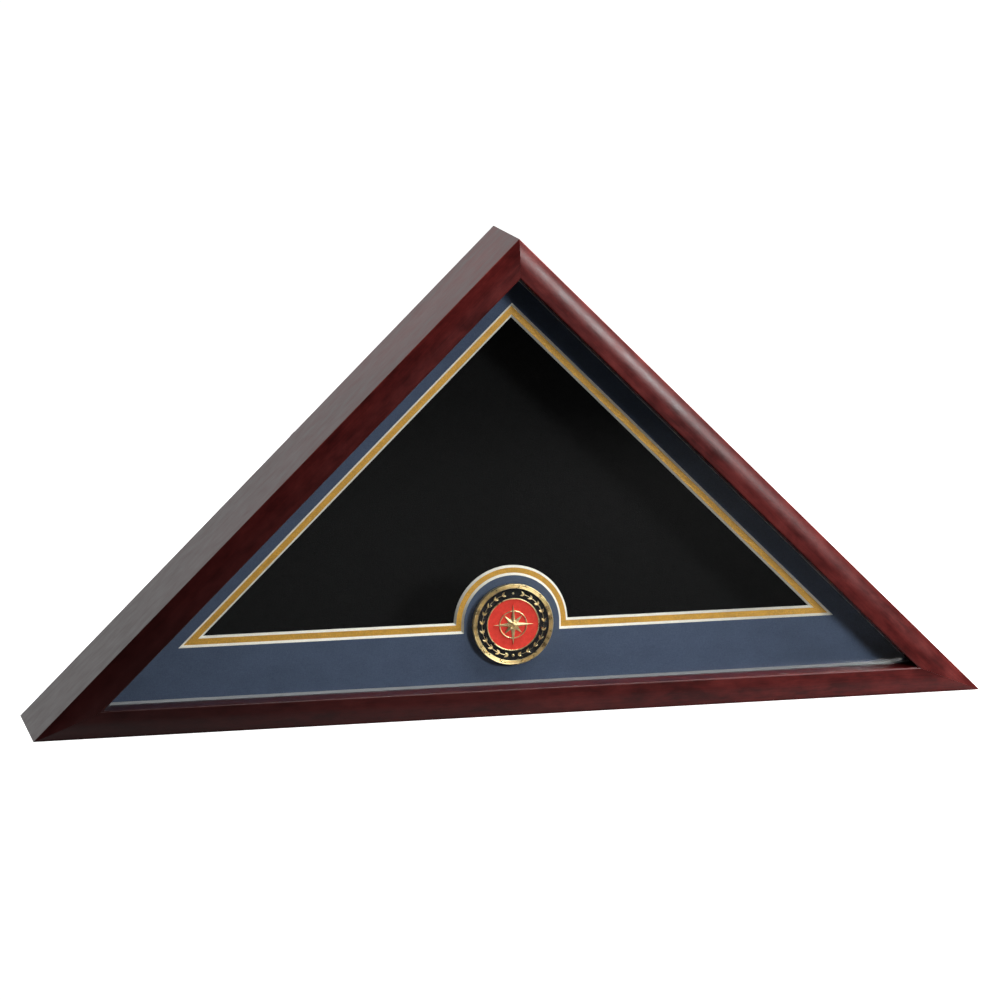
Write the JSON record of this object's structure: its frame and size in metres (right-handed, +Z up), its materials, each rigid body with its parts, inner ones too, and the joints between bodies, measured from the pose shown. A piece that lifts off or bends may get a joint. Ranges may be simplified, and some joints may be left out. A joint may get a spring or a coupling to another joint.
{
  "type": "folded flag display case",
  "caption": "Triangular cherry-finish shadow box for a folded flag, with double bevelled mat, medallion, glass front and hinged felted back door.",
  "frame": {"origin": "centre of the bottom rail's flat underside, on which the case stands", "axes": "+X to the right seen from the front, +Y from the glass towards the back door, +Z up"},
  "size_m": [0.6602, 0.0841, 0.3253],
  "materials": {
    "cherry_wood": "dark cherry stain under semi-gloss lacquer",
    "black_strip": "black satin spacer strip",
    "black_felt": "black felt",
    "clear_glass": "clear 2 mm picture glass",
    "navy_mat_board": "navy mat board with paper tooth and a white core, bevel cut",
    "gold_mat_board": "old gold mat board with a white core, bevel cut",
    "foam_tape": "white foam mounting tape",
    "gold_plate": "polished gold plate on a die-struck disc",
    "black_enamel": "glossy black enamel",
    "red_enamel": "glossy red enamel",
    "hardboard": "brown tempered hardboard",
    "brass": "brass-plated cabinet hardware",
    "zinc_plate": "bright zinc-plated steel"
  },
  "bodies": {
    "case": {"rail_bottom": "cherry_wood", "rail_left": "cherry_wood", "rail_right": "cherry_wood", "spacer_bottom": "black_strip", "spacer_left": "black_strip", "spacer_right": "black_strip", "liner_bottom": "black_felt", "liner_left": "black_felt", "liner_right": "black_felt", "glass_pane": "clear_glass", "top_mat": "navy_mat_board", "under_mat": "gold_mat_board", "medallion_pad": "foam_tape", "medallion_body": "gold_plate", "medallion_black_enamel": "black_enamel", "medallion_red_enamel": "red_enamel", "medallion_emblem": "gold_plate", "hinge_left_rail_leaf": "brass", "hinge_left_pin": "brass", "hinge_left_rail_screw_1": "brass", "hinge_left_rail_screw_2": "brass", "hinge_right_rail_leaf": "brass", "hinge_right_pin": "brass", "hinge_right_rail_screw_1": "brass", "hinge_right_rail_screw_2": "brass", "turn_button_left_low_screw": "brass", "turn_button_left_high_screw": "brass", "turn_button_right_low_screw": "brass", "turn_button_right_high_screw": "brass", "hanger_left_strap": "zinc_plate", "hanger_left_screw": "zinc_plate", "hanger_right_strap": "zinc_plate", "hanger_right_screw": "zinc_plate", "mitre_nail_left_outer": "zinc_plate", "mitre_nail_left_inner": "zinc_plate", "mitre_nail_right_outer": "zinc_plate", "mitre_nail_right_inner": "zinc_plate", "mitre_nail_apex_outer": "zinc_plate", "mitre_nail_apex_inner": "zinc_plate"},
    "door": {"back_door": "hardboard", "back_felt": "black_felt", "hinge_left_door_leaf": "brass", "hinge_right_door_leaf": "brass", "hinge_left_door_screw_1": "brass", "hinge_left_door_screw_2": "brass", "hinge_right_door_screw_1": "brass", "hinge_right_door_screw_2": "brass"},
    "button_left_low": {"turn_button_left_low": "brass"},
    "button_left_high": {"turn_button_left_high": "brass"},
    "button_right_low": {"turn_button_right_low": "brass"},
    "button_right_high": {"turn_button_right_high": "brass"},
    "ring_left": {"hanger_left_ring": "zinc_plate"},
    "ring_right": {"hanger_right_ring": "zinc_plate"}
  },
  "joints": [
    {"name": "door_hinge", "type": "hinge", "parent": "case", "child": "door", "pos_m": [0, 0.0422, 0.0134], "axis": [-1, 0, 0], "range_deg": [0, 92]},
    {"name": "button_left_low_turn", "type": "hinge", "parent": "case", "child": "button_left_low", "pos_m": [-0.23318, 0.0408, 0.08645], "axis": [0, -1, 0], "continuous": true},
    {"name": "button_left_high_turn", "type": "hinge", "parent": "case", "child": "button_left_high", "pos_m": [-0.06148, 0.0408, 0.25561], "axis": [0, -1, 0], "continuous": true},
    {"name": "button_right_low_turn", "type": "hinge", "parent": "case", "child": "button_right_low", "pos_m": [0.23318, 0.0408, 0.08645], "axis": [0, 1, 0], "continuous": true},
    {"name": "button_right_high_turn", "type": "hinge", "parent": "case", "child": "button_right_high", "pos_m": [0.06148, 0.0408, 0.25561], "axis": [0, 1, 0], "continuous": true},
    {"name": "ring_left_swing", "type": "hinge", "parent": "case", "child": "ring_left", "pos_m": [-0.13412, 0.0422, 0.18404], "axis": [0.7018, 0, -0.7124], "range_deg": [0, 150]},
    {"name": "ring_right_swing", "type": "hinge", "parent": "case", "child": "ring_right", "pos_m": [0.13412, 0.0422, 0.18404], "axis": [0.7018, 0, 0.7124], "range_deg": [0, 150]}
  ]
}
